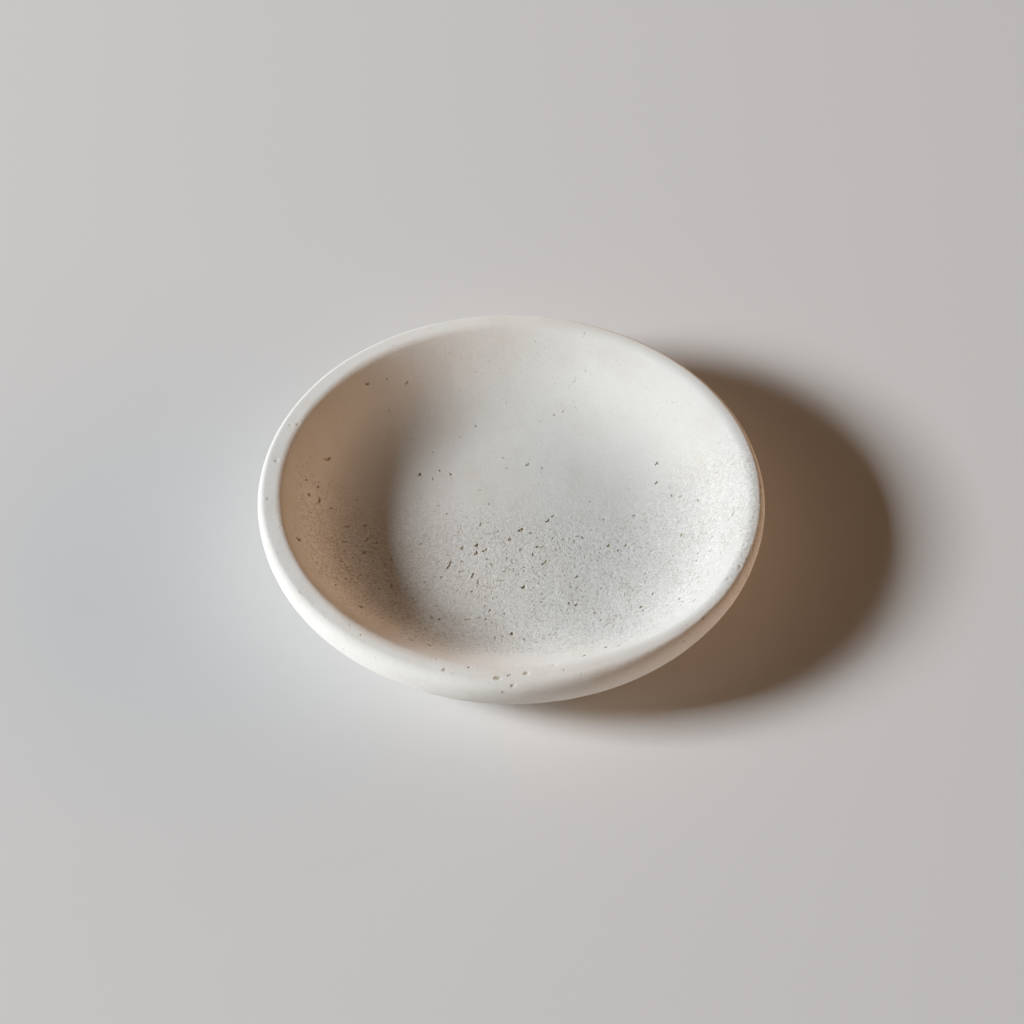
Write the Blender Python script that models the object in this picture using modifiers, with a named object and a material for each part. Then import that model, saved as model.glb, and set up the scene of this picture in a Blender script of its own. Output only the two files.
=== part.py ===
"""A round trinket dish of matte cast ceramic, standing on four stick-on rubber pads.

Run with: blender --background --python part.py
Lengths are in metres and +Z is up. The origin is on the table, under the middle of the dish.

The dish is one turned piece. Its section runs from the middle of the flat floor along a curved
wall to a thick rolled lip, and back under the lip to a flat base. The pads sit on the base.
"""
import math

import bpy

# The overall sizes of the dish, whose height is taken from the table to the crest of the lip
OUTER_DIAMETER = 0.125
DISH_HEIGHT = 0.0215

# The rolled lip: its crest lies inside the widest circle and above it
LIP_OUTER_WIDTH = 0.0033
LIP_OUTER_DROP = 0.0036
LIP_INNER_RADIUS = 0.0068
LIP_INNER_ANGLE = math.radians(43)

# The floor and the base that it stands on
FLOOR_DIAMETER = 0.054
FLOOR_THICKNESS = 0.0034
BASE_DIAMETER = 0.076

# The pads under the base, set in from its edge
PAD_DIAMETER = 0.010
PAD_THICKNESS = 0.0009
PAD_EDGE_ROUNDING = 0.0003
PAD_INSET = 0.004
PAD_FIRST_ANGLE = math.radians(45)

# The clearance between a pad and the base that it is stuck to
SEAT_GAP = 0.0003

# How far each end of a curved wall keeps its first direction, as shares of the wall's run
INNER_FLOOR_HOLD_SHARE = 0.63
INNER_LIP_HOLD_SHARE = 0.35
OUTER_LIP_HOLD_SHARE = 0.60
OUTER_BASE_HOLD_SHARE = 0.45
OUTER_BASE_RISE_SHARE = 0.12

# How finely the round shapes are divided
DISH_STEPS = 72
PAD_STEPS = 32
WALL_STEPS = 12
LIP_STEPS = 5
PAD_EDGE_STEPS = 2
MERGE_DISTANCE = 0.00002

# Heights and radii that follow from the sizes above
BASE_HEIGHT = PAD_THICKNESS + SEAT_GAP
FLOOR_HEIGHT = BASE_HEIGHT + FLOOR_THICKNESS
OUTER_RADIUS = OUTER_DIAMETER / 2
FLOOR_RADIUS = FLOOR_DIAMETER / 2
BASE_RADIUS = BASE_DIAMETER / 2
CREST_RADIUS = OUTER_RADIUS - LIP_OUTER_WIDTH
WIDEST_HEIGHT = DISH_HEIGHT - LIP_OUTER_DROP
PAD_CIRCLE_RADIUS = BASE_RADIUS - PAD_INSET - PAD_DIAMETER / 2

# The pads in order, turning from the first angle
PAD_NAMES = (
    "foot_pad_rear_right",
    "foot_pad_rear_left",
    "foot_pad_front_left",
    "foot_pad_front_right",
)


def clear_scene():
    for old in list(bpy.data.objects):
        bpy.data.objects.remove(old, do_unlink=True)


def new_collection(name):
    collection = bpy.data.collections.new(name)
    bpy.context.scene.collection.children.link(collection)
    return collection


def make_material(name, colour, roughness, metallic=0.0):
    material = bpy.data.materials.new(name)
    material.use_nodes = True
    shader = material.node_tree.nodes["Principled BSDF"]
    shader.inputs["Base Color"].default_value = (*colour, 1.0)
    shader.inputs["Roughness"].default_value = roughness
    shader.inputs["Metallic"].default_value = metallic
    material.diffuse_color = (*colour, 1.0)
    return material


def curve_points(start, start_handle, end_handle, end, steps):
    """Points along a cubic curve, without its first point."""
    points = []
    for step in range(1, steps + 1):
        along = step / steps
        back = 1 - along
        weights = (back ** 3, 3 * back ** 2 * along, 3 * back * along ** 2, along ** 3)
        corners = (start, start_handle, end_handle, end)
        radius = sum(weight * corner[0] for weight, corner in zip(weights, corners))
        height = sum(weight * corner[1] for weight, corner in zip(weights, corners))
        points.append((radius, height))
    return points


def inner_wall():
    """The curve that lifts the floor into the wall, up to where the lip begins."""
    floor_edge = (FLOOR_RADIUS, FLOOR_HEIGHT)
    lip_start = inner_lip_point(LIP_INNER_ANGLE)
    run = lip_start[0] - floor_edge[0]
    floor_hold = run * INNER_FLOOR_HOLD_SHARE
    lip_hold = math.dist(floor_edge, lip_start) * INNER_LIP_HOLD_SHARE
    floor_handle = (floor_edge[0] + floor_hold, FLOOR_HEIGHT)
    lip_handle = (
        lip_start[0] - lip_hold * math.cos(LIP_INNER_ANGLE),
        lip_start[1] - lip_hold * math.sin(LIP_INNER_ANGLE),
    )
    return curve_points(floor_edge, floor_handle, lip_handle, lip_start, WALL_STEPS)


def inner_lip_point(slope):
    """The point on the lip's inner rounding where the surface has this slope."""
    radius = CREST_RADIUS - LIP_INNER_RADIUS * math.sin(slope)
    height = DISH_HEIGHT - LIP_INNER_RADIUS * (1 - math.cos(slope))
    return (radius, height)


def inner_lip():
    """The rounding from the wall up to the crest."""
    slopes = [LIP_INNER_ANGLE * (1 - step / LIP_STEPS) for step in range(1, LIP_STEPS + 1)]
    return [inner_lip_point(slope) for slope in slopes]


def outer_lip():
    """The rounding from the crest down to the widest circle."""
    points = []
    for step in range(1, LIP_STEPS + 1):
        turn = math.pi / 2 * step / LIP_STEPS
        radius = CREST_RADIUS + LIP_OUTER_WIDTH * math.sin(turn)
        height = WIDEST_HEIGHT + LIP_OUTER_DROP * math.cos(turn)
        points.append((radius, height))
    return points


def outer_wall():
    """The wall that tapers under the lip to the edge of the base."""
    widest = (OUTER_RADIUS, WIDEST_HEIGHT)
    base_edge = (BASE_RADIUS, BASE_HEIGHT)
    run = OUTER_RADIUS - BASE_RADIUS
    rise = WIDEST_HEIGHT - BASE_HEIGHT
    lip_handle = (OUTER_RADIUS, WIDEST_HEIGHT - rise * OUTER_LIP_HOLD_SHARE)
    base_handle = (
        BASE_RADIUS + run * OUTER_BASE_HOLD_SHARE,
        BASE_HEIGHT + rise * OUTER_BASE_RISE_SHARE,
    )
    return curve_points(widest, lip_handle, base_handle, base_edge, WALL_STEPS)


def dish_profile():
    """The dish's section, from the middle of the floor over the lip to the middle of the base."""
    floor = [(0, FLOOR_HEIGHT), (FLOOR_RADIUS, FLOOR_HEIGHT)]
    base = [(0, BASE_HEIGHT)]
    return floor + inner_wall() + inner_lip() + outer_lip() + outer_wall() + base


def pad_profile():
    """A pad's section: a flat disc whose lower edge is rounded."""
    radius = PAD_DIAMETER / 2
    rounding = min(PAD_EDGE_ROUNDING, PAD_THICKNESS / 2)
    points = [(0, PAD_THICKNESS), (radius, PAD_THICKNESS), (radius, rounding)]
    for step in range(1, PAD_EDGE_STEPS + 1):
        turn = math.pi / 2 * step / PAD_EDGE_STEPS
        points.append((radius - rounding * (1 - math.cos(turn)), rounding * (1 - math.sin(turn))))
    points.append((0, 0))
    return points


def profile_mesh(name, profile, material):
    """A profile in the XZ plane, given from top to bottom, as a chain of edges."""
    mesh = bpy.data.meshes.new(name)
    points = [(radius, 0, height) for radius, height in profile]
    edges = [(index, index + 1) for index in range(len(points) - 1)]
    mesh.from_pydata(points, edges, [])
    mesh.materials.append(material)
    mesh.update()
    return mesh


def add_turned_part(name, mesh, steps, collection, location=(0, 0, 0)):
    """An object whose profile is turned about its own Z axis into a closed body."""
    part = bpy.data.objects.new(name, mesh)
    part.location = location
    collection.objects.link(part)
    screw = part.modifiers.new("Turn", "SCREW")
    screw.axis = "Z"
    screw.angle = 2 * math.pi
    screw.steps = steps
    screw.render_steps = steps
    screw.use_merge_vertices = True
    screw.merge_threshold = MERGE_DISTANCE
    screw.use_smooth_shade = True
    return part


def make_dish(collection):
    """The dish itself: floor, wall, lip and base in one fired piece."""
    ceramic = make_material("sand_white_ceramic", (0.66, 0.63, 0.58), 0.9)
    mesh = profile_mesh("dish_body", dish_profile(), ceramic)
    return add_turned_part("dish_body", mesh, DISH_STEPS, collection)


def make_pads(collection):
    """The rubber pads, evenly round the base with their flat tops just under it."""
    rubber = make_material("clear_grey_rubber", (0.62, 0.62, 0.60), 0.45)
    mesh = profile_mesh("foot_pad", pad_profile(), rubber)
    for index, name in enumerate(PAD_NAMES):
        angle = PAD_FIRST_ANGLE + 2 * math.pi * index / len(PAD_NAMES)
        place = (PAD_CIRCLE_RADIUS * math.cos(angle), PAD_CIRCLE_RADIUS * math.sin(angle), 0)
        add_turned_part(name, mesh, PAD_STEPS, collection, place)


def main():
    clear_scene()
    collection = new_collection("ceramic_dish")
    make_dish(collection)
    make_pads(collection)


main()
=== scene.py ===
"""A round trinket dish of matte, sandy, pitted ceramic on four soft pads, with a plain studio stage.

The file is laid out as a Blender add-on and is run as a script. Lengths are in metres and +Z is up.
The dish is drawn as a section, spun, worked unevenly, and then pitted by cutting small blobs out of it.
"""

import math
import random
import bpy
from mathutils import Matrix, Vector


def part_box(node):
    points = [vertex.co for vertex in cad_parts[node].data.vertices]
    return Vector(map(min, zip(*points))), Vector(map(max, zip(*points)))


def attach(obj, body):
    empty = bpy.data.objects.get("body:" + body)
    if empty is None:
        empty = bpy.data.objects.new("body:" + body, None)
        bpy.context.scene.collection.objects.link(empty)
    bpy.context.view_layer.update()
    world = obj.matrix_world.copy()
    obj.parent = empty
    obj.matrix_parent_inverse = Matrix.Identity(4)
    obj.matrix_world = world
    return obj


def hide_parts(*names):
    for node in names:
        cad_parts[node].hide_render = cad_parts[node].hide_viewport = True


bl_info = {
    "name": "Sandy Ceramic Dish",
    "version": (1, 0, 0),
    "blender": (4, 5, 0),
    "location": "3D View > Sidebar > Dish",
    "description": "Adds a pitted ceramic dish, its soft pads and a plain studio stage",
    "category": "Add Mesh",
}

from collections import namedtuple

import bmesh
import bpy
from bpy.props import FloatProperty, FloatVectorProperty, IntProperty, PointerProperty
from mathutils import Matrix, Quaternion, Vector, noise
from mathutils.bvhtree import BVHTree
from mathutils.geometry import interpolate_bezier

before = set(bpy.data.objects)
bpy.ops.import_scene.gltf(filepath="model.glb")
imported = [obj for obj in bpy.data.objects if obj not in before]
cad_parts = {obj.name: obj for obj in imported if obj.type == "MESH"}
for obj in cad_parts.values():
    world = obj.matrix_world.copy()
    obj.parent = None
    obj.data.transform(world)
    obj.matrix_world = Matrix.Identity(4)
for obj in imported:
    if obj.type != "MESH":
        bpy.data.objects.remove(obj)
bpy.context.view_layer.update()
BODY_LOW, BODY_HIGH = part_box("dish_body")
PAD_LOW, PAD_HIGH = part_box("foot_pad_front_left")

MM = 0.001
UP = Vector((0, 0, 1))

# The pads and the CAD nodes that they stand for
PAD_NODES = {
    "soft_pad_front_left": "foot_pad_front_left",
    "soft_pad_front_right": "foot_pad_front_right",
    "soft_pad_rear_left": "foot_pad_rear_left",
    "soft_pad_rear_right": "foot_pad_rear_right",
}

# How finely the section is divided and how far apart two points are still one
SPIN_STEPS = 280
INNER_WALL_RINGS = 44
LIP_RINGS = 9
BAND_RINGS = 4
OUTER_WALL_RINGS = 26
MERGE_DISTANCE = 0.01 * MM

# The lumps of the slow unevenness from hand work and of the small unevenness of the clay
BROAD_LUMP = 24 * MM
FINE_LUMP = 3.5 * MM

# The blobs that cut the pits: how many there are of each shape, how fine a lumpy one is, the length from
# which a scattered pit is lumpy, and how much wider a blob is than the chosen pit that it cuts
LUMPY_BLOBS = 7
ROUND_BLOBS = 5
LUMPY_BLOB_VOXEL = 0.10
LUMPY_BLOB_FACES = 240
LUMPY_PIT_LENGTH = 0.90 * MM
BLOB_SPREAD = 1.3

# Each zone of scattered pits: its name, its pits' usual length in millimetres, and their depth as a
# share of their width
PIT_ZONES = (
    ("floor", 0.58, 0.40),
    ("wall", 0.60, 0.34),
    ("lip", 0.65, 0.24),
    ("outer", 0.65, 0.28),
    ("base", 0.70, 0.30),
)

# The size of the clusters of scattered pits, the chance that one is left out, what the rear, the left
# and the right add to that chance, the most it may be, where left and right start, and how much longer
# the pits of the wall are at the left
PIT_CLUSTER = 5 * MM
BARE = 0.25
BARER_REAR = 0.75
BARER_LEFT = -0.20
BARER_RIGHT = 0.35
BAREST = 0.96
LEFT_FROM = -15 * MM
RIGHT_FROM = 25 * MM
RIGHT_FRONT_FROM = -15 * MM
LARGER_AT_LEFT = 1.25

# How the scattered pits vary: the spread of their lengths, the longest as a multiple of the usual one,
# their widths as a share of the length, the spread of their turns in radians, how far they stand apart
# as a share of their lengths, and how far a blob's middle lies off the surface as a share of its width
LENGTH_SPREAD = 0.42
LONGEST = 2.4
NARROWEST, WIDEST = 0.35, 0.85
TURN_SPREAD = 0.5
PIT_DISTANCE = 0.65
RISE_SPREAD = 0.06

# How far the scattered pits stay from the outer wall's foot, from the crest and the widest circle, and
# from the base's edge, and how far the lip's zone reaches into the bowl
FOOT_MARGIN = 1.2 * MM
LIP_MARGIN = 0.8 * MM
BASE_MARGIN = 1.0 * MM
LIP_REACH = 4 * MM

# The sizes of the lumps in the clay's pattern
MOTTLE = 20 * MM
WARM_PATCH = 12 * MM
FLECK_CLUSTER = 7 * MM
SAND = 1.1 * MM
FLECK = 0.75 * MM
GRIT = 0.42 * MM

# Where each zone of the clay begins and where it is full: the lip by its radius and by its height, the
# wiped rear and front by how far back they lie, and the rougher front left. At the right wall the wiped
# rear begins later, and at the right of the lip the wiping ends.
LIP_BY_RADIUS = (55 * MM, 59 * MM)
LIP_BY_HEIGHT = (15.5 * MM, 19 * MM)
REAR_FADE = (-6 * MM, 20 * MM)
FRONT_FADE = (-42 * MM, -52 * MM)
ROUGHER_FADE = (18 * MM, 36 * MM)
RIGHT_WALL_FADE = (28 * MM, 44 * MM)
LATER_AT_RIGHT = 10 * MM
RIGHT_LIP_FADE = (59 * MM, 46 * MM)

# How strongly the clay is wiped smooth in each place, and how strongly each mark takes the pits' colour
WIPED_REAR = 0.92
WIPED_FRONT = 0.86
WIPED_LIP = 0.80
FLECK_TINT = 0.50
# In pinholes and pits that colour is partly earthy dirt and partly painted shade
HOLE_DIRT_AND_SHADE_TINT = 0.80
PIT_DIRT_AND_SHADE_TINT = 0.80

# The relief in the clay's finish: how high sand and grit stand, and how deep flecks and pinholes lie
SAND_HEIGHT = 0.16 * MM
GRIT_HEIGHT = 0.11 * MM
FLECK_DEPTH = 0.06 * MM
HOLE_DEPTH = 0.12 * MM

# The film of glue on a pad is narrower than the pad by this much
FILM_INSET = 0.35 * MM

# The plain backdrop, how far from the dish the floor's fade into it starts and ends, and how strong the
# faint light from all round is
BACKDROP = (0.60, 0.60, 0.61)
FADE_START = 0.30
FADE_END = 0.62
SURROUND_LEVEL = 0.003

# How far the inner wall keeps the lip's slope, as a share of the straight way between floor and lip, and
# the shares that give the outer wall its fullness, as in the solid
INNER_LIP_HOLD_SHARE = 0.35
OUTER_LIP_HOLD_SHARE = 0.60
OUTER_BASE_HOLD_SHARE = 0.45
OUTER_BASE_RISE_SHARE = 0.12

# The section differs round the dish, as on one finished by hand. A side's numbers are how far the wall
# keeps the floor's direction as a share of its run, its steepest slope, the rounding into the lip's band,
# the band's width and how far it falls outwards, the width from there to the widest circle, and how far
# the crest lies under the dish's height. The left side is nearest to the solid. The other two hold from
# their middle to their full angle and then fade into it, in degrees.
LEFT_SIDE = {
    "floor_hold": 0.63, "slope": math.radians(43), "inner": 2.8 * MM,
    "band": 2.6 * MM, "fall": 0.22 * MM, "outer": 2.0 * MM, "under": 0.0}
FRONT_SIDE = {
    "floor_hold": 0.44, "slope": math.radians(34), "inner": 6.0 * MM,
    "band": 1.0 * MM, "fall": 0.08 * MM, "outer": 2.5 * MM, "under": 0.2 * MM,
    "middle": 266, "full": 22, "fade": 34}
RIGHT_SIDE = {
    "floor_hold": 0.61, "slope": math.radians(42), "inner": 3.6 * MM,
    "band": 0.4 * MM, "fall": 0.0, "outer": 1.9 * MM, "under": 0.5 * MM,
    "middle": 12, "full": 46, "fade": 42}

# Most pits lean this way in plan, as if the clay had been wiped from the front left to the rear right
SMEAR_ANGLE = math.radians(50)

# The pits that show most, each as its place across and towards the rear, its length and width, all in
# millimetres, and its turn from the smear in degrees
FLOOR_PITS = (
    (2.6, 1.6, 1.5, 1.0, -10),
    (9.2, 4.8, 1.3, 0.7, 0),
    (10.5, 6.4, 0.9, 0.6, 5),
    (-0.2, -1.5, 1.0, 0.7, 10),
    (-1.5, -2.7, 1.0, 0.5, 85),
    (7.4, -3.9, 2.1, 0.7, -42),
    (-8.4, -3.6, 1.1, 0.9, -10),
    (-12.0, -4.6, 1.0, 0.8, 0),
    (-8.5, -6.2, 1.2, 0.8, 20),
    (-6.4, -5.2, 1.5, 0.6, -5),
    (-15.4, -6.9, 1.1, 0.5, -45),
    (-15.2, -10.2, 2.3, 0.6, 15),
    (-12.1, -12.1, 1.4, 0.4, -15),
    (-9.3, -13.5, 1.6, 0.6, 20),
    (-8.0, -15.6, 1.1, 0.5, 30),
    (-2.4, -15.1, 1.9, 0.5, -40),
    (8.4, -9.1, 1.9, 0.6, 5),
    (-5.9, -8.2, 0.7, 0.5, 0),
    (-4.8, -9.8, 0.9, 0.5, 70),
    (2.4, -4.9, 0.8, 0.5, 10),
    (5.5, -6.5, 0.9, 0.6, 40),
    (11.3, -4.8, 0.9, 0.5, 70),
    (13.1, -1.3, 0.7, 0.5, 0),
    (17.8, -0.6, 0.8, 0.6, 60),
    (17.3, -3.8, 1.2, 0.4, 75),
    (-7.6, 3.4, 1.0, 0.5, 15),
    (-5.2, 4.3, 1.0, 0.3, -45),
    (-5.3, 0.2, 1.1, 0.4, -50),
    (-3.2, 1.1, 0.8, 0.4, 0),
)
WALL_PITS = (
    (36.7, 22.0, 1.0, 0.8, 0),
    (36.6, 16.4, 0.9, 0.7, 0),
    (40.2, 11.5, 1.0, 0.6, 60),
    (42.3, 10.4, 0.9, 0.5, -50),
    (54.6, -3.4, 1.7, 0.4, 5),
    (46.6, 7.1, 0.8, 0.5, 60),
    (42.3, -1.9, 0.9, 0.6, 10),
    (49.3, -7.2, 1.1, 0.4, -20),
    (48.8, -12.0, 0.9, 0.4, -40),
    (45.5, -13.1, 0.9, 0.5, 60),
    (34.8, -20.8, 0.9, 0.5, 20),
    (30.7, 6.7, 0.9, 0.5, 0),
    (0.4, -32.9, 1.2, 0.9, 10),
    (-10.3, -28.0, 1.5, 0.5, -45),
    (-7.6, -27.2, 1.1, 0.5, -40),
    (-19.1, -28.0, 1.0, 0.7, 60),
    (-18.2, -23.8, 1.2, 0.5, -40),
    (14.3, -22.4, 0.7, 0.6, 0),
    (20.6, -25.6, 0.7, 0.6, 0),
    (-5.0, -24.9, 1.0, 0.5, 0),
    (22.0, -28.7, 0.9, 0.5, 10),
    (-46.2, 17.1, 2.1, 0.8, -20),
    (-50.1, 3.8, 0.9, 0.9, 0),
    (-47.7, 4.2, 1.7, 0.8, 45),
    (-40.8, 0.1, 1.3, 0.5, -30),
    (-36.4, 1.9, 1.1, 0.7, 0),
    (-35.8, -2.7, 1.5, 0.6, 10),
    (-41.3, -5.3, 1.3, 0.5, -40),
    (-50.9, 7.6, 0.9, 0.6, 0),
    (-48.1, 8.0, 1.0, 0.6, 20),
    (-44.8, 4.0, 1.0, 0.5, 0),
)
LIP_DENTS = (
    (-3.1, -60.2, 1.8, 1.3, 0),
    (3.7, -58.5, 1.4, 1.1, 0),
    (0.6, -61.6, 1.3, 0.9, 0),
    (-15.5, -57.7, 1.2, 1.0, 0),
    (10.3, -55.6, 1.1, 0.6, 0),
    (58.6, -3.0, 0.8, 0.6, 0),
    (56.4, -17.1, 1.1, 0.8, 0),
    (52.1, -28.2, 1.3, 0.9, 0),
    (61.2, 1.9, 1.3, 0.9, 40),
    (55.2, -24.6, 1.4, 1.0, 40),
    (-55.3, 21.4, 0.9, 0.7, 0),
    (-53.4, 21.5, 1.1, 0.9, 0),
    (-58.2, 9.0, 1.2, 0.8, 0),
    (-59.5, -3.7, 1.0, 0.8, 0),
    (-56.1, -13.2, 0.9, 0.6, 0),
)

# Each table's blob, its pits' depth as a share of their width, and how far a blob's middle stands over
# the surface as a share of the width
CHOSEN_PITS = (
    ("lumpy", FLOOR_PITS, 0.34, 0.03),
    ("lumpy", WALL_PITS, 0.34, 0.03),
    ("round", LIP_DENTS, 0.12, 0.02),
)


class DishSizes(bpy.types.PropertyGroup):
    """The sizes of the dish and its pads."""

    outer_diameter: FloatProperty(
        name="Outer diameter", description="Widest width over the lip",
        default=2 * BODY_HIGH.x, min=0.08, max=0.2, unit="LENGTH")
    crest_height: FloatProperty(
        name="Crest height", description="Height of the lip's crest over the table",
        default=BODY_HIGH.z, min=0.01, max=0.05, unit="LENGTH")
    floor_diameter: FloatProperty(
        name="Floor diameter", description="Width of the flat floor inside",
        default=54 * MM, min=0.02, max=0.1, unit="LENGTH")
    floor_thickness: FloatProperty(
        name="Floor thickness", description="Thickness of the clay under the floor",
        default=3.4 * MM, min=0.001, max=0.01, unit="LENGTH")
    base_diameter: FloatProperty(
        name="Base diameter", description="Width of the flat underside",
        default=76 * MM, min=0.03, max=0.15, unit="LENGTH")
    lip_outer_drop: FloatProperty(
        name="Lip outer drop", description="From the lip's crest down to the widest circle",
        default=3.6 * MM, min=0.0005, max=0.01, unit="LENGTH")
    hand_share: FloatProperty(
        name="Hand share", description="How far the front and right sides go from the left side's section",
        default=1.0, min=0.0, max=1.0, subtype="FACTOR")
    broad_relief: FloatProperty(
        name="Broad relief", description="Depth of the slow unevenness left by hand work",
        default=0.28 * MM, min=0.0, max=0.002, unit="LENGTH")
    fine_relief: FloatProperty(
        name="Fine relief", description="Depth of the small unevenness of the clay",
        default=0.10 * MM, min=0.0, max=0.001, unit="LENGTH")
    pad_diameter: FloatProperty(
        name="Pad diameter", description="Width of one soft pad",
        default=PAD_HIGH.x - PAD_LOW.x, min=0.004, max=0.03, unit="LENGTH")
    pad_rounding: FloatProperty(
        name="Pad rounding", description="Rounding of a pad's lower edge",
        default=0.3 * MM, min=0.0, max=0.001, unit="LENGTH")


class DishPits(bpy.types.PropertyGroup):
    """How often a small pit is tried in each zone. Many tries are left out between the clusters."""

    seed: IntProperty(
        name="Seed", description="Another seed places the small pits anew", default=7)
    floor_pits: IntProperty(
        name="Floor pits", description="Tries at a scattered pit in the flat floor",
        default=520, min=0, max=900)
    wall_pits: IntProperty(
        name="Wall pits", description="Tries at a scattered pit in the inner wall",
        default=560, min=0, max=900)
    lip_pits: IntProperty(
        name="Lip pits", description="Tries at a scattered pit round the lip",
        default=80, min=0, max=300)
    outer_pits: IntProperty(
        name="Outer pits", description="Tries at a scattered pit in the outer wall",
        default=130, min=0, max=500)
    base_pits: IntProperty(
        name="Base pits", description="Tries at a scattered pit in the flat base",
        default=70, min=0, max=300)


class DishColours(bpy.types.PropertyGroup):
    """The colours of the dish, its pads and the stage."""

    clay: FloatVectorProperty(
        name="Clay", description="The fired clay's main colour",
        default=(0.80, 0.78, 0.735), subtype="COLOR", size=3, min=0, max=1)
    clay_warm: FloatVectorProperty(
        name="Warm clay", description="The faint warmer patches in the clay",
        default=(0.76, 0.715, 0.645), subtype="COLOR", size=3, min=0, max=1)
    # The pits' colour is partly earthy dirt and partly painted shade in the pits and pinholes
    pit: FloatVectorProperty(
        name="Pit", description="The earthy colour inside the pits and pinholes",
        default=(0.58, 0.50, 0.38), subtype="COLOR", size=3, min=0, max=1)
    pad: FloatVectorProperty(
        name="Pad", description="The pads' translucent grey",
        default=(0.60, 0.60, 0.58), subtype="COLOR", size=3, min=0, max=1)
    floor: FloatVectorProperty(
        name="Floor", description="The plain floor of the stage",
        default=(0.79, 0.78, 0.765), subtype="COLOR", size=3, min=0, max=1)
    key: FloatVectorProperty(
        name="Key light", description="Colour of the large lamp at the left",
        default=(0.985, 1.03, 1.08), subtype="COLOR", size=3, min=0, max=2)
    fill: FloatVectorProperty(
        name="Fill light", description="Colour of the broad warm lamp at the right",
        default=(1.0, 0.60, 0.34), subtype="COLOR", size=3, min=0, max=2)
    surround: FloatVectorProperty(
        name="Surrounding light", description="Colour of the faint light from all round",
        default=(1.0, 0.82, 0.66), subtype="COLOR", size=3, min=0, max=2)


class Value:
    """An output of a shader node, on which a Python expression adds Math nodes."""

    def __init__(self, shader, socket):
        self.shader = shader
        self.socket = socket

    def math(self, operation, *values):
        return self.shader.node("ShaderNodeMath", {"operation": operation}, dict(enumerate(values)))

    def __add__(self, other):
        return self.math("ADD", self, other)

    def __sub__(self, other):
        return self.math("SUBTRACT", self, other)

    def __rsub__(self, other):
        return self.math("SUBTRACT", other, self)

    def __mul__(self, other):
        return self.math("MULTIPLY", self, other)

    __radd__ = __add__
    __rmul__ = __mul__

    def larger(self, other):
        return self.math("MAXIMUM", self, other)

    def smooth_step(self, start, end):
        """0 where this value is at start, 1 where it is at end, and a soft slope between."""
        return self.shader.node(
            "ShaderNodeMapRange", {"interpolation_type": "SMOOTHSTEP"},
            {"Value": self, "From Min": start, "From Max": end})


class Shader:
    """A new material whose nodes are added by expressions."""

    def __init__(self, name, **constants):
        self.material = bpy.data.materials.new(name)
        self.material.use_nodes = True
        self.tree = self.material.node_tree
        self.surface = self.tree.nodes["Principled BSDF"]
        for socket, value in constants.items():
            self.surface.inputs[socket.replace("_", " ")].default_value = value

    def node(self, kind, settings, inputs, output=0):
        node = self.tree.nodes.new(kind)
        for name, value in settings.items():
            setattr(node, name, value)
        for name, value in inputs.items():
            self.feed(node.inputs[name], value)
        return Value(self, node.outputs[output])

    def feed(self, socket, value):
        if isinstance(value, Value):
            self.tree.links.new(value.socket, socket)
        else:
            socket.default_value = value

    def set(self, name, value):
        self.feed(self.surface.inputs[name], value)

    def place(self):
        """Where a point lies on the object, in metres."""
        return self.node("ShaderNodeTexCoord", {}, {}, "Object")

    def axis(self, place, name):
        """One of the three numbers of a place."""
        return self.node("ShaderNodeSeparateXYZ", {}, {"Vector": place}, name)

    def moved(self, place, shift):
        return self.node("ShaderNodeVectorMath", {"operation": "ADD"}, {0: place, 1: shift})

    def stretched(self, place, turn, scale):
        """The place in a pattern that is turned about Z and drawn out along its own X."""
        return self.node(
            "ShaderNodeMapping", {"vector_type": "TEXTURE"},
            {"Vector": place, "Rotation": (0, 0, turn), "Scale": scale})

    def noise(self, place, size, detail=2.0, roughness=0.5, output="Fac"):
        """Cloudy noise whose lumps are about this size."""
        return self.node(
            "ShaderNodeTexNoise", {},
            {"Vector": place, "Scale": 1 / size, "Detail": detail, "Roughness": roughness}, output)

    def shaken(self, place, size, amount):
        """The place moved a little to and fro, which makes round marks ragged."""
        shake = self.noise(place, size, 1.0, 0.5, "Color")
        centred = self.node("ShaderNodeVectorMath", {"operation": "SUBTRACT"}, {0: shake, 1: (0.5, 0.5, 0.5)})
        scaled = self.node("ShaderNodeVectorMath", {"operation": "SCALE"}, {0: centred, "Scale": amount})
        return self.moved(place, scaled)

    def specks(self, place, spacing, radius, share):
        """1 inside scattered specks and 0 outside, in this share of the cells that they lie in."""
        cells = {"Vector": place, "Scale": 1 / spacing}
        settings = {"voronoi_dimensions": "3D", "feature": "F1"}
        distance = self.node("ShaderNodeTexVoronoi", settings, cells, "Distance") * spacing
        colour = self.node("ShaderNodeTexVoronoi", settings, cells, "Color")
        chance = self.node("ShaderNodeSeparateColor", {}, {"Color": colour}, "Red")
        size = self.node("ShaderNodeSeparateColor", {}, {"Color": colour}, "Green")
        inside = distance.smooth_step(1.15 * radius, 0.45 * radius) * (size * 0.6 + 0.4)
        return inside * chance.math("LESS_THAN", chance, share)

    def mix(self, factor, first, second, blend="MIX"):
        """A colour between two, where a plain colour is three numbers."""
        colours = [value if isinstance(value, Value) else (*value, 1.0) for value in (first, second)]
        return self.node(
            "ShaderNodeMix", {"data_type": "RGBA", "blend_type": blend, "clamp_factor": True},
            {"Factor": factor, 6: colours[0], 7: colours[1]}, 2)

    def shade(self, colour, brightness):
        """A colour made darker or lighter by a value near 1."""
        grey = self.node("ShaderNodeCombineColor", {}, {0: brightness, 1: brightness, 2: brightness})
        return self.mix(1.0, colour, grey, "MULTIPLY")

    def bump(self, height):
        """Relief from a height in metres."""
        bump = self.node("ShaderNodeBump", {}, {"Strength": 1.0, "Distance": 1.0, "Height": height})
        self.set("Normal", bump)


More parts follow.
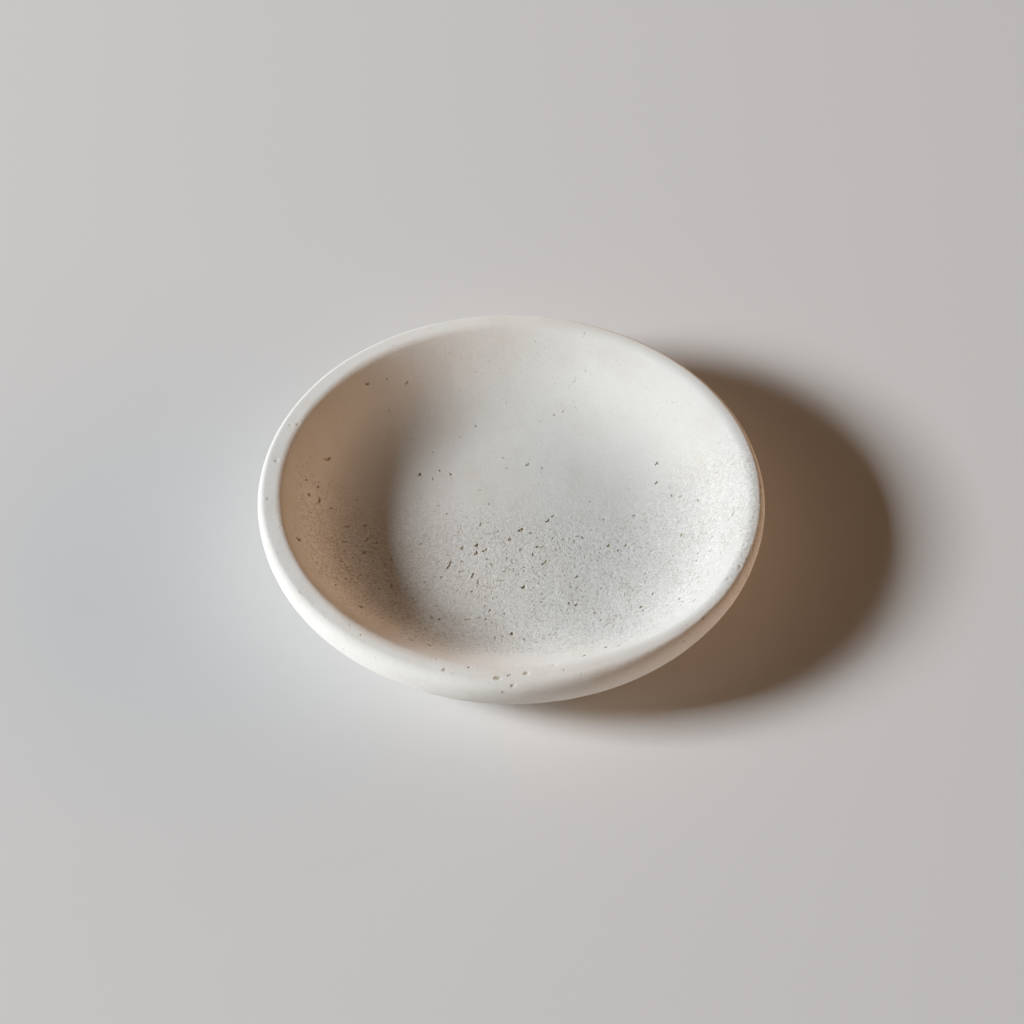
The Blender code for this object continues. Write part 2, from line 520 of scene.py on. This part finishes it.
def lip_zone(across, back, height):
    """1 on the lip and the outer wall, and 0 in the bowl."""
    start, full = LIP_BY_RADIUS
    outside = (across * across + back * back).smooth_step(start ** 2, full ** 2)
    return height.smooth_step(*LIP_BY_HEIGHT).larger(outside)


def wiped_zone(across, back, on_lip):
    """How smooth the clay is wiped: at the rear, at the very front, and on the lip but for its right."""
    rear = (back - across.smooth_step(*RIGHT_WALL_FADE) * LATER_AT_RIGHT).smooth_step(*REAR_FADE)
    front = back.smooth_step(*FRONT_FADE)
    lip = on_lip * across.smooth_step(*RIGHT_LIP_FADE)
    return (rear * WIPED_REAR).larger(front * WIPED_FRONT).larger(lip * WIPED_LIP)


def make_clay(colours):
    """Matte fired clay: mottled, finely flecked, peppered with pinholes, and earthy inside its pits, with
    painted shade in the pits and pinholes.
    """
    clay = Shader("sandy_matte_ceramic", IOR=1.45, Specular_IOR_Level=0.25, Diffuse_Roughness=0.6)
    place = clay.place()
    across = clay.axis(place, "X")
    back = clay.axis(place, "Y")
    height = clay.axis(place, "Z")
    mottle = clay.noise(place, MOTTLE, 3.0, 0.55)
    warmth = clay.noise(clay.moved(place, (0.3, 0.1, 0.7)), WARM_PATCH, 3.0, 0.6).smooth_step(0.48, 0.72)
    patches = clay.noise(clay.moved(place, (0.1, 0.6, 0.4)), FLECK_CLUSTER, 2.0, 0.5)
    sand = clay.noise(place, SAND, 3.0, 0.7)
    grit = clay.noise(clay.moved(place, (0.5, 0.5, 0.2)), GRIT, 2.0, 0.6)
    on_lip = lip_zone(across, back, height)
    wiped = wiped_zone(across, back, on_lip)
    coarse = 1.0 - wiped
    # The front left of the bowl is rougher than the rest, and its pits are painted darker there as painted
    # shade
    rougher = (across * -0.8 - back * 0.4).smooth_step(*ROUGHER_FADE) * (1.0 - on_lip)

    shaken = clay.shaken(place, size=0.5 * MM, amount=0.30 * MM)
    ragged = clay.stretched(shaken, turn=SMEAR_ANGLE, scale=(1.35, 1.0, 1.0))
    openness = (patches - 0.5) * 0.34 - wiped * 0.12 + rougher * 0.02
    flecks = (clay.noise(ragged, FLECK, 2.0, 0.5) + openness).smooth_step(0.59, 0.69)
    small = clay.specks(ragged, spacing=1.15 * MM, radius=0.20 * MM, share=0.55)
    medium = clay.specks(
        clay.moved(ragged, (0.2, 0.4, 0.1)), spacing=2.6 * MM, radius=0.34 * MM, share=0.40)
    holes = (small * 0.7).larger(medium * 0.85) * (1.0 - wiped * 0.7)
    # The deeper a point lies in a pit, the more it takes the pits' colour: partly earthy dirt, partly painted
    # shade in the hollow
    depth = clay.node("ShaderNodeAttribute", {"attribute_name": "pit_depth"}, {}, "Fac")
    pit_dirt_and_shade = depth.smooth_step(0.01 * MM, 0.12 * MM)

    # Painted light and shade: the clay is a little lighter up the wall and towards the front and rear, and
    # darker at the sides
    painted_light_and_shade = height.smooth_step(6 * MM, 14 * MM) * 0.05 + back * back * 42.0 - across * across * 16.0
    grain = (sand - 0.5) * 0.42 + (grit - 0.5) * 0.62
    grain_strength = 0.08 + coarse * (1.0 + rougher * 0.5)
    brightness = 0.96 + painted_light_and_shade + (mottle - 0.5) * 0.10 + grain * grain_strength
    plain = clay.mix(warmth * 0.5, tuple(colours.clay), tuple(colours.clay_warm))
    # Painted shade: the pits are darker at the front left, the side of the bowl that lies away from the key
    # lamp
    pit = clay.shade(tuple(colours.pit), 1.0 - rougher * 0.18)
    # Flecks take the pits' colour as dirt; pinholes and pits take it as earthy dirt and painted shade
    flecks_dirt_and_pit_shade = (flecks * FLECK_TINT).larger(holes * HOLE_DIRT_AND_SHADE_TINT).larger(pit_dirt_and_shade * PIT_DIRT_AND_SHADE_TINT)
    clay.set("Base Color", clay.mix(flecks_dirt_and_pit_shade, clay.shade(plain, brightness), pit))
    clay.set("Roughness", 0.86 + sand * 0.12)
    grains = (sand - 0.5) * SAND_HEIGHT + (grit - 0.5) * GRIT_HEIGHT
    relief = grains - flecks * FLECK_DEPTH - holes * HOLE_DEPTH
    clay.bump(relief * (0.25 + coarse * 0.75))
    return clay.material


def make_pad_rubber(colours):
    """Satin grey silicone with a little dust on it."""
    rubber = Shader("satin_grey_rubber", IOR=1.43, Specular_IOR_Level=0.5)
    place = rubber.place()
    dust = rubber.noise(place, 1.6 * MM, 4.0, 0.65).smooth_step(0.5, 0.8)
    cloud = rubber.noise(place, 5 * MM, 2.0, 0.5)
    dusty = rubber.mix(dust * 0.35, tuple(colours.pad), tuple(colours.clay))
    rubber.set("Base Color", rubber.shade(dusty, 0.94 + cloud * 0.12))
    rubber.set("Roughness", 0.38 + dust * 0.35)
    rubber.bump(rubber.noise(place, 0.4 * MM, 3.0, 0.6) * (0.02 * MM))
    return rubber.material


def add_primitive(add, name, **settings):
    """A new mesh object from one of Blender's primitives, by itself in edit mode."""
    bpy.ops.object.select_all(action="DESELECT")
    add(**settings)
    piece = bpy.context.object
    piece.name = name
    piece.data.name = name
    bpy.ops.object.transform_apply(location=True, rotation=True, scale=True)
    bpy.ops.object.mode_set(mode="EDIT")
    bpy.ops.mesh.select_all(action="SELECT")
    return piece


def select_edges(piece, wanted):
    """In edit mode, selects only the edges that fit a test."""
    bpy.ops.mesh.select_all(action="DESELECT")
    bpy.ops.mesh.select_mode(type="EDGE")
    mesh = bmesh.from_edit_mesh(piece.data)
    for edge in mesh.edges:
        edge.select_set(bool(wanted(edge)))
    mesh.select_flush(True)
    bmesh.update_edit_mesh(piece.data)


def finish_mesh(piece, material, smooth_angle):
    """Leaves edit mode, puts the place into the mesh and shades it smooth up to an angle."""
    bpy.ops.object.mode_set(mode="OBJECT")
    bpy.ops.object.select_all(action="DESELECT")
    piece.select_set(True)
    bpy.context.view_layer.objects.active = piece
    bpy.ops.object.transform_apply(location=True, rotation=True, scale=True)
    piece.data.materials.clear()
    piece.data.materials.append(material)
    bpy.ops.object.shade_smooth_by_angle(angle=smooth_angle)


def apply_modifier(piece, modifier):
    bpy.ops.object.select_all(action="DESELECT")
    piece.select_set(True)
    bpy.context.view_layer.objects.active = piece
    bpy.ops.object.modifier_apply(modifier=modifier.name)


def dish_section(sizes, side):
    """One side's section, from the floor's edge over the lip to the base's edge, as radii and heights."""
    outer_radius = sizes.outer_diameter / 2
    floor_edge = Vector((sizes.floor_diameter / 2, BODY_LOW.z + sizes.floor_thickness))
    base_edge = Vector((sizes.base_diameter / 2, BODY_LOW.z))
    widest = Vector((outer_radius, sizes.crest_height - sizes.lip_outer_drop))
    crest = Vector((outer_radius - side["outer"] - side["band"], sizes.crest_height - side["under"]))
    band_end = crest + Vector((side["band"], -side["fall"]))

    def inner_lip(slope):
        return crest + side["inner"] * Vector((-math.sin(slope), math.cos(slope) - 1))

    def outer_lip(turn):
        drop = (band_end.y - widest.y) * (math.cos(turn) - 1)
        return band_end + Vector((side["outer"] * math.sin(turn), drop))

    slope = side["slope"]
    lip_start = inner_lip(slope)
    floor_handle = floor_edge + Vector(((lip_start.x - floor_edge.x) * side["floor_hold"], 0))
    lip_hold = (lip_start - floor_edge).length * INNER_LIP_HOLD_SHARE
    lip_handle = lip_start - lip_hold * Vector((math.cos(slope), math.sin(slope)))
    rise = widest.y - base_edge.y
    run = widest.x - base_edge.x
    under_lip = widest - Vector((0, rise * OUTER_LIP_HOLD_SHARE))
    over_base = base_edge + Vector((run * OUTER_BASE_HOLD_SHARE, rise * OUTER_BASE_RISE_SHARE))

    wall = interpolate_bezier(floor_edge, floor_handle, lip_handle, lip_start, INNER_WALL_RINGS)
    inner = [inner_lip(slope * (1 - step / LIP_RINGS)) for step in range(1, LIP_RINGS + 1)]
    band = [crest.lerp(band_end, step / BAND_RINGS) for step in range(1, BAND_RINGS + 1)]
    outer = [outer_lip(math.pi / 2 * step / LIP_RINGS) for step in range(1, LIP_RINGS + 1)]
    under = interpolate_bezier(widest, under_lip, over_base, base_edge, OUTER_WALL_RINGS)
    return wall + inner + band + outer + under[1:]


def spin_section(name, section):
    """A turned shell: one point is drawn along the section, and the line is spun round Z."""
    start = section[0]
    piece = add_primitive(
        bpy.ops.mesh.primitive_plane_add, name, size=MM, location=(start.x, 0, start.y))
    bpy.ops.mesh.merge(type="CENTER")
    for here, there in zip(section, section[1:]):
        step = there - here
        bpy.ops.mesh.extrude_vertices_move(TRANSFORM_OT_translate={"value": (step.x, 0, step.y)})
    bpy.ops.mesh.select_all(action="SELECT")
    bpy.ops.mesh.spin(steps=SPIN_STEPS, angle=2 * math.pi, center=(0, 0, 0), axis=(0, 0, 1))
    bpy.ops.mesh.select_all(action="SELECT")
    bpy.ops.mesh.remove_doubles(threshold=MERGE_DISTANCE)
    bpy.ops.object.mode_set(mode="OBJECT")
    return piece


def side_weight(across, back, side):
    """1 within the full angle of a side's middle, 0 past the fade, and a soft slope between."""
    away = abs((math.degrees(math.atan2(back, across)) - side["middle"] + 180) % 360 - 180)
    near = min(1.0, max(0.0, (side["full"] + side["fade"] - away) / side["fade"]))
    return near * near * (3 - 2 * near)


def blend_sides(piece, sides):
    """Turns a shell into other shells at their own sides, with a shape key and a vertex group for each."""
    for shell, weight in sides:
        bpy.ops.object.select_all(action="DESELECT")
        shell.select_set(True)
        piece.select_set(True)
        bpy.context.view_layer.objects.active = piece
        bpy.ops.object.join_shapes()
        group = piece.vertex_groups.new(name=shell.name)
        for vertex in piece.data.vertices:
            group.add([vertex.index], weight(vertex.co.x, vertex.co.y), "REPLACE")
        key = piece.data.shape_keys.key_blocks[-1]
        key.vertex_group = group.name
        key.value = 1.0
        bpy.data.objects.remove(shell)
    piece.active_shape_key_index = len(sides)
    bpy.ops.object.shape_key_remove(all=True, apply_mix=True)
    piece.vertex_groups.clear()


def fill_flat_ends(piece, middle_height):
    """Fills the open circles of a turned shell with an even grid of faces."""
    bpy.ops.object.mode_set(mode="EDIT")
    for above in (True, False):
        select_edges(
            piece, lambda edge: edge.is_boundary and (edge.verts[0].co.z > middle_height) == above)
        bpy.ops.mesh.fill_grid(span=SPIN_STEPS // 4)
    bpy.ops.mesh.select_all(action="SELECT")
    bpy.ops.mesh.normals_make_consistent(inside=False)
    bpy.ops.object.mode_set(mode="OBJECT")


def weight_worked_surface(piece, base_height):
    """A vertex group that leaves the flat base out of the unevenness."""
    group = piece.vertex_groups.new(name="worked_surface")
    worked = [vertex.index for vertex in piece.data.vertices if vertex.co.z > base_height + 0.5 * MM]
    group.add(worked, 1.0, "REPLACE")
    return group.name


def work_surface(piece, depth, lump_size, group):
    """Presses the surface in unevenly by up to a depth. It only moves inwards."""
    texture = bpy.data.textures.new(f"{piece.name}_relief", "CLOUDS")
    texture.noise_scale = lump_size
    texture.noise_depth = 2
    modifier = piece.modifiers.new("Relief", "DISPLACE")
    modifier.texture = texture
    modifier.texture_coords = "LOCAL"
    modifier.vertex_group = group
    modifier.mid_level = 1.0
    modifier.strength = depth
    apply_modifier(piece, modifier)


# A pit to be cut: the blob that cuts it, where it lies, how large it is and how it is turned
Pit = namedtuple("Pit", "shape spot normal length width depth_share rise_share turn")


def make_round_blob(name, seed):
    """A ragged ball one unit in radius, which cuts one small pit or shallow dent."""
    blob = add_primitive(bpy.ops.mesh.primitive_ico_sphere_add, name, subdivisions=2, radius=1.0)
    bpy.ops.transform.vertex_random(offset=0.34, seed=seed)
    bpy.ops.mesh.vertices_smooth(factor=0.45)
    bpy.ops.object.mode_set(mode="OBJECT")
    return blob


def make_lumpy_blob(name, seed):
    """Three uneven balls grown together, one unit in radius over all, which cut one larger pit."""
    dice = random.Random(seed)
    balls = []
    for across, back in ((-0.55, 0.15), (0.1, -0.3), (0.6, 0.2)):
        across += dice.uniform(-0.15, 0.15)
        back += dice.uniform(-0.2, 0.2)
        height = dice.uniform(-0.1, 0.1)
        ball = add_primitive(
            bpy.ops.mesh.primitive_ico_sphere_add, name, subdivisions=3, radius=dice.uniform(0.42, 0.68),
            location=(across, back, height))
        bpy.ops.transform.vertex_random(offset=0.12, seed=seed)
        bpy.ops.object.mode_set(mode="OBJECT")
        balls.append(ball)
    bpy.ops.object.select_all(action="DESELECT")
    for ball in balls:
        ball.select_set(True)
    bpy.context.view_layer.objects.active = balls[0]
    bpy.ops.object.join()
    blob = bpy.context.object
    grow = blob.modifiers.new("Grow", "REMESH")
    grow.mode = "VOXEL"
    grow.voxel_size = LUMPY_BLOB_VOXEL
    apply_modifier(blob, grow)
    thin = blob.modifiers.new("Thin", "DECIMATE")
    thin.ratio = LUMPY_BLOB_FACES / len(blob.data.polygons)
    apply_modifier(blob, thin)
    low = [min(vertex.co[axis] for vertex in blob.data.vertices) for axis in range(3)]
    high = [max(vertex.co[axis] for vertex in blob.data.vertices) for axis in range(3)]
    middle = Vector([(a + b) / 2 for a, b in zip(low, high)])
    spread = Matrix.Diagonal([2 / (b - a) for a, b in zip(low, high)] + [1])
    blob.data.transform(spread @ Matrix.Translation(-middle))
    return blob


def chosen_pits(tree):
    """The pits that are listed, on the surface under their place in plan."""
    pits = []
    for shape, table, depth_share, rise_share in CHOSEN_PITS:
        for across, back, length, width, turn in table:
            spot, normal, _, _ = tree.ray_cast(Vector((across * MM, back * MM, 1)), -UP)
            pits.append(Pit(
                shape, spot, normal, length * MM * BLOB_SPREAD, width * MM * BLOB_SPREAD,
                depth_share, rise_share, math.radians(turn)))
    return pits


def surface_rays(zone, sizes, dice):
    """A start and a direction of a ray that meets a chance point of one zone of the dish."""
    outer_radius = sizes.outer_diameter / 2
    crest_radius = outer_radius - LEFT_SIDE["outer"] - LEFT_SIDE["band"] / 2
    angle = dice.uniform(0, 2 * math.pi)
    outwards = Vector((math.cos(angle), math.sin(angle), 0))
    if zone == "outer":
        height = dice.uniform(BODY_LOW.z + FOOT_MARGIN, sizes.crest_height - LIP_MARGIN)
        return outwards * (2 * outer_radius) + UP * height, -outwards
    low, high = {
        "floor": (0.0, sizes.floor_diameter / 2),
        "wall": (sizes.floor_diameter / 2, crest_radius - LIP_REACH),
        "lip": (crest_radius - LIP_REACH, outer_radius - LIP_MARGIN),
        "base": (0.0, sizes.base_diameter / 2 - BASE_MARGIN),
    }[zone]
    radius = math.sqrt(dice.uniform(low ** 2, high ** 2))
    if zone == "base":
        return outwards * radius - UP, UP
    return outwards * radius + UP, -UP


def chance_left_out(zone, start):
    """How likely a tried pit is left out: between the clusters, and in the bowl at the rear and right."""
    bare = BARE - noise.noise(start / PIT_CLUSTER)
    if zone in ("floor", "wall", "lip"):
        bare += BARER_REAR if start.y > 0 else 0.0
        bare += BARER_LEFT if start.x < LEFT_FROM else 0.0
        bare += BARER_RIGHT if start.x > RIGHT_FROM and start.y > RIGHT_FRONT_FROM else 0.0
    return min(bare, BAREST)


def scattered_pits(tree, taken, sizes, pits):
    """Small pits scattered over every zone, in clusters and fewer at the rear, none touching another."""
    dice = random.Random(pits.seed)
    made = []
    for zone, usual, depth_share in PIT_ZONES:
        for _ in range(getattr(pits, f"{zone}_pits")):
            start, direction = surface_rays(zone, sizes, dice)
            if dice.random() < chance_left_out(zone, start):
                continue
            larger = LARGER_AT_LEFT if zone == "wall" and start.x < LEFT_FROM else 1.0
            length = larger * usual * MM * min(LONGEST, dice.lognormvariate(0, LENGTH_SPREAD))
            width = length * dice.uniform(NARROWEST, WIDEST)
            turn = dice.gauss(0, TURN_SPREAD)
            spot, normal, _, _ = tree.ray_cast(start, direction)
            if any((spot - other.spot).length < PIT_DISTANCE * (length + other.length)
                   for other in taken + made):
                continue
            shape = "lumpy" if length > LUMPY_PIT_LENGTH else "round"
            rise_share = dice.uniform(-RISE_SPREAD, RISE_SPREAD)
            made.append(Pit(shape, spot, normal, length, width, depth_share, rise_share, turn))
    return made


def place_blob(pit):
    """The matrix that sets a unit blob into the surface, drawn out along the smear."""
    angle = SMEAR_ANGLE + pit.turn
    along = Vector((math.cos(angle), math.sin(angle), 0))
    along = (along - pit.normal * along.dot(pit.normal)).normalized()
    across = pit.normal.cross(along)
    basis = Matrix((along, across, pit.normal)).transposed().to_4x4()
    scale = Matrix.Diagonal((pit.length / 2, pit.width / 2, pit.width * pit.depth_share, 1))
    return Matrix.Translation(pit.spot + pit.normal * (pit.width * pit.rise_share)) @ basis @ scale


def cut_pits(piece, sizes, pit_settings):
    """Cuts the pits out of the dish and marks how deep each of its points then lies."""
    surface = bmesh.new()
    surface.from_mesh(piece.data)
    tree = BVHTree.FromBMesh(surface)
    pits = chosen_pits(tree)
    pits += scattered_pits(tree, pits, sizes, pit_settings)
    blobs = {
        "lumpy": [make_lumpy_blob(f"lumpy_blob_{index}", index) for index in range(LUMPY_BLOBS)],
        "round": [make_round_blob(f"round_blob_{index}", index) for index in range(ROUND_BLOBS)],
    }
    cutters = []
    for index, pit in enumerate(pits):
        alike = blobs[pit.shape]
        cutter = alike[index % len(alike)].copy()
        cutter.data = cutter.data.copy()
        cutter.data.transform(place_blob(pit))
        bpy.context.scene.collection.objects.link(cutter)
        cutters.append(cutter)
    for blob in blobs["lumpy"] + blobs["round"]:
        bpy.data.objects.remove(blob)
    bpy.ops.object.select_all(action="DESELECT")
    for cutter in cutters:
        cutter.select_set(True)
    bpy.context.view_layer.objects.active = cutters[0]
    bpy.ops.object.join()
    joined = bpy.context.object
    modifier = piece.modifiers.new("Pits", "BOOLEAN")
    modifier.operation = "DIFFERENCE"
    modifier.object = joined
    modifier.solver = "MANIFOLD"
    apply_modifier(piece, modifier)
    bpy.data.objects.remove(joined)
    mark_depth(piece, tree)
    surface.free()


def mark_depth(piece, tree):
    """Keeps each point's depth under the uncut surface, which tints the pits with earthy dirt and painted
    shade.
    """
    depth = piece.data.attributes.new("pit_depth", "FLOAT", "POINT")
    for vertex, value in zip(piece.data.vertices, depth.data):
        distance = tree.find_nearest(vertex.co)[3]
        value.value = distance if distance > MERGE_DISTANCE else 0.0


class DISH_OT_add_body(bpy.types.Operator):
    """Spins the dish from its section, works its surface and cuts its pits"""

    bl_idname = "dish.add_body"
    bl_label = "Add Dish Body"

    def execute(self, context):
        sizes = context.scene.dish_sizes
        share = sizes.hand_share
        dish = spin_section("pitted_dish", dish_section(sizes, LEFT_SIDE))
        front = spin_section("front_side", dish_section(sizes, FRONT_SIDE))
        right = spin_section("right_side", dish_section(sizes, RIGHT_SIDE))
        blend_sides(dish, (
            (front, lambda across, back: share * side_weight(across, back, FRONT_SIDE)),
            (right, lambda across, back: share * side_weight(across, back, RIGHT_SIDE)),
        ))
        fill_flat_ends(dish, BODY_LOW.z + sizes.floor_thickness / 2)
        group = weight_worked_surface(dish, BODY_LOW.z)
        work_surface(dish, sizes.broad_relief, BROAD_LUMP, group)
        work_surface(dish, sizes.fine_relief, FINE_LUMP, group)
        cut_pits(dish, sizes, context.scene.dish_pits)
        finish_mesh(dish, make_clay(context.scene.dish_colours), math.radians(38))
        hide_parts("dish_body")
        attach(dish, "root")
        return {"FINISHED"}


class DISH_OT_add_pads(bpy.types.Operator):
    """Adds the four soft pads under the base, each with its film of glue"""

    bl_idname = "dish.add_pads"
    bl_label = "Add Soft Pads"

    def execute(self, context):
        rubber = make_pad_rubber(context.scene.dish_colours)
        for name, node in PAD_NODES.items():
            pad = self.model_pad(name, node, context.scene.dish_sizes)
            finish_mesh(pad, rubber, math.radians(40))
            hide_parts(node)
            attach(pad, "root")
        return {"FINISHED"}

    def model_pad(self, name, node, sizes):
        """A disc with a rounded lower edge, under a thinner and narrower film of glue."""
        low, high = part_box(node)
        middle = (low + high) / 2
        pad = add_primitive(
            bpy.ops.mesh.primitive_circle_add, name, vertices=64, radius=sizes.pad_diameter / 2,
            fill_type="NGON", location=(middle.x, middle.y, low.z))
        bpy.ops.mesh.extrude_region_move(TRANSFORM_OT_translate={"value": (0, 0, high.z - low.z)})
        bpy.ops.mesh.inset(thickness=FILM_INSET)
        bpy.ops.mesh.extrude_region_move(TRANSFORM_OT_translate={"value": (0, 0, BODY_LOW.z - high.z)})
        bpy.ops.mesh.select_all(action="SELECT")
        bpy.ops.mesh.normals_make_consistent(inside=False)
        select_edges(
            pad, lambda edge: abs(edge.verts[0].co.z) + abs(edge.verts[1].co.z) < MERGE_DISTANCE)
        bpy.ops.mesh.bevel(offset=sizes.pad_rounding, segments=5, affect="EDGES")
        return pad


class DISH_OT_add_stage(bpy.types.Operator):
    """Adds the plain floor, the soft lamps and the camera"""

    bl_idname = "dish.add_stage"
    bl_label = "Add Studio Stage"

    def execute(self, context):
        scene = context.scene
        colours = scene.dish_colours
        floor = add_primitive(bpy.ops.mesh.primitive_plane_add, "studio_floor", size=8.0)
        paint = Shader("pale_floor_paint", Roughness=0.9, Specular_IOR_Level=0.2, Diffuse_Roughness=0.5)
        paint.set("Base Color", (*colours.floor, 1.0))
        self.fade_floor(paint)
        finish_mesh(floor, paint.material, math.radians(30))
        self.add_lamp(
            "key_softbox", colours.key, turn=9, elevation=26.2, distance=2.2, size=(0.72, 0.48), level=1.38)
        self.add_lamp(
            "warm_fill", colours.fill, turn=190, elevation=13, distance=5.0, size=(6.4, 1.5), level=0.62)
        self.light_world(scene, colours)
        self.add_camera(scene)
        scene.view_settings.view_transform = "Standard"
        return {"FINISHED"}

    def fade_floor(self, paint):
        """Lets the floor end softly in the plain backdrop, so that it shows no glare near the lamp."""
        place = paint.place()
        across = paint.axis(place, "X")
        back = paint.axis(place, "Y")
        far = (across * across + back * back).smooth_step(FADE_START ** 2, FADE_END ** 2)
        by_camera = paint.node("ShaderNodeLightPath", {}, {}, "Is Camera Ray")
        by_gloss = paint.node("ShaderNodeLightPath", {}, {}, "Is Glossy Ray")
        plain = paint.node("ShaderNodeEmission", {}, {"Color": (*BACKDROP, 1.0)}, "Emission")
        painted = Value(paint, paint.surface.outputs[0])
        faded = far * by_camera.larger(by_gloss)
        floor = paint.node("ShaderNodeMixShader", {}, {0: faded, 1: painted, 2: plain}, "Shader")
        paint.tree.links.new(floor.socket, paint.tree.nodes["Material Output"].inputs["Surface"])

    def add_lamp(self, name, colour, turn, elevation, distance, size, level):
        """A soft lamp, turned from the left towards the front. At level 1 white comes out as white."""
        turn = math.radians(turn)
        elevation = math.radians(elevation)
        flat_share = math.cos(elevation)
        from_dish = Vector((
            -flat_share * math.cos(turn), -flat_share * math.sin(turn), math.sin(elevation)))
        light = bpy.data.lights.new(name, "AREA")
        light.shape = "RECTANGLE"
        light.size, light.size_y = size
        light.color = colour
        light.energy = level * (math.pi * distance) ** 2
        lamp = bpy.data.objects.new(name, light)
        lamp.location = from_dish * distance
        lamp.rotation_euler = from_dish.to_track_quat("Z", "Y").to_euler()
        bpy.context.scene.collection.objects.link(lamp)

    def light_world(self, scene, colours):
        """A faint even light, with a pale backdrop for the camera and for gloss."""
        world = bpy.data.worlds.new("studio_world")
        scene.world = world
        world.use_nodes = True
        tree = world.node_tree
        backdrop = tree.nodes.new("ShaderNodeBackground")
        backdrop.inputs["Color"].default_value = (*BACKDROP, 1)
        surround = tree.nodes["Background"]
        surround.inputs["Color"].default_value = (*colours.surround, 1)
        surround.inputs["Strength"].default_value = SURROUND_LEVEL
        path = tree.nodes.new("ShaderNodeLightPath")
        seen = tree.nodes.new("ShaderNodeMath")
        seen.operation = "MAXIMUM"
        tree.links.new(path.outputs["Is Camera Ray"], seen.inputs[0])
        tree.links.new(path.outputs["Is Glossy Ray"], seen.inputs[1])
        mix = tree.nodes.new("ShaderNodeMixShader")
        tree.links.new(seen.outputs[0], mix.inputs[0])
        tree.links.new(surround.outputs[0], mix.inputs[1])
        tree.links.new(backdrop.outputs[0], mix.inputs[2])
        tree.links.new(mix.outputs[0], tree.nodes["World Output"].inputs["Surface"])

    def add_camera(self, scene):
        """The photograph's view: from the front, well above, through a long lens."""
        picture = 1024
        elevation = math.radians(47.4)
        widest_circle = Vector((0, 0, BODY_HIGH.z - scene.dish_sizes.lip_outer_drop))
        centre_column = 511.4
        centre_row = 498.2
        half_width_in_pixels = 254
        distance_in_radii = 14
        data = bpy.data.cameras.new("photo_camera")
        data.sensor_width = 36
        data.lens = data.sensor_width * half_width_in_pixels * distance_in_radii / picture
        data.shift_x = (picture / 2 - centre_column) / picture
        data.shift_y = (centre_row - picture / 2) / picture
        camera = bpy.data.objects.new("photo_camera", data)
        back = Vector((0, -math.cos(elevation), math.sin(elevation)))
        camera.location = widest_circle + back * (distance_in_radii * BODY_HIGH.x)
        roll = Quaternion((0, 0, 1), math.radians(0.4))
        camera.rotation_euler = (back.to_track_quat("Z", "Y") @ roll).to_euler()
        scene.collection.objects.link(camera)
        scene.camera = camera


class DISH_PT_panel(bpy.types.Panel):
    """Lists the dish's pieces, sizes and colours"""

    bl_idname = "DISH_PT_panel"
    bl_label = "Ceramic Dish"
    bl_space_type = "VIEW_3D"
    bl_region_type = "UI"
    bl_category = "Dish"

    def draw(self, context):
        for operator in OPERATORS:
            self.layout.operator(operator.bl_idname)
        for group in (context.scene.dish_sizes, context.scene.dish_pits, context.scene.dish_colours):
            box = self.layout.box()
            for name in group.__annotations__:
                box.prop(group, name)


OPERATORS = (DISH_OT_add_body, DISH_OT_add_pads, DISH_OT_add_stage)
CLASSES = (DishSizes, DishPits, DishColours, *OPERATORS, DISH_PT_panel)


def register():
    for entry in CLASSES:
        bpy.utils.register_class(entry)
    bpy.types.Scene.dish_sizes = PointerProperty(type=DishSizes)
    bpy.types.Scene.dish_pits = PointerProperty(type=DishPits)
    bpy.types.Scene.dish_colours = PointerProperty(type=DishColours)


def unregister():
    del bpy.types.Scene.dish_colours
    del bpy.types.Scene.dish_pits
    del bpy.types.Scene.dish_sizes
    for entry in reversed(CLASSES):
        bpy.utils.unregister_class(entry)


def main():
    register()
    bpy.ops.dish.add_stage()
    bpy.ops.dish.add_body()
    bpy.ops.dish.add_pads()


if __name__ == "__main__":
    main()
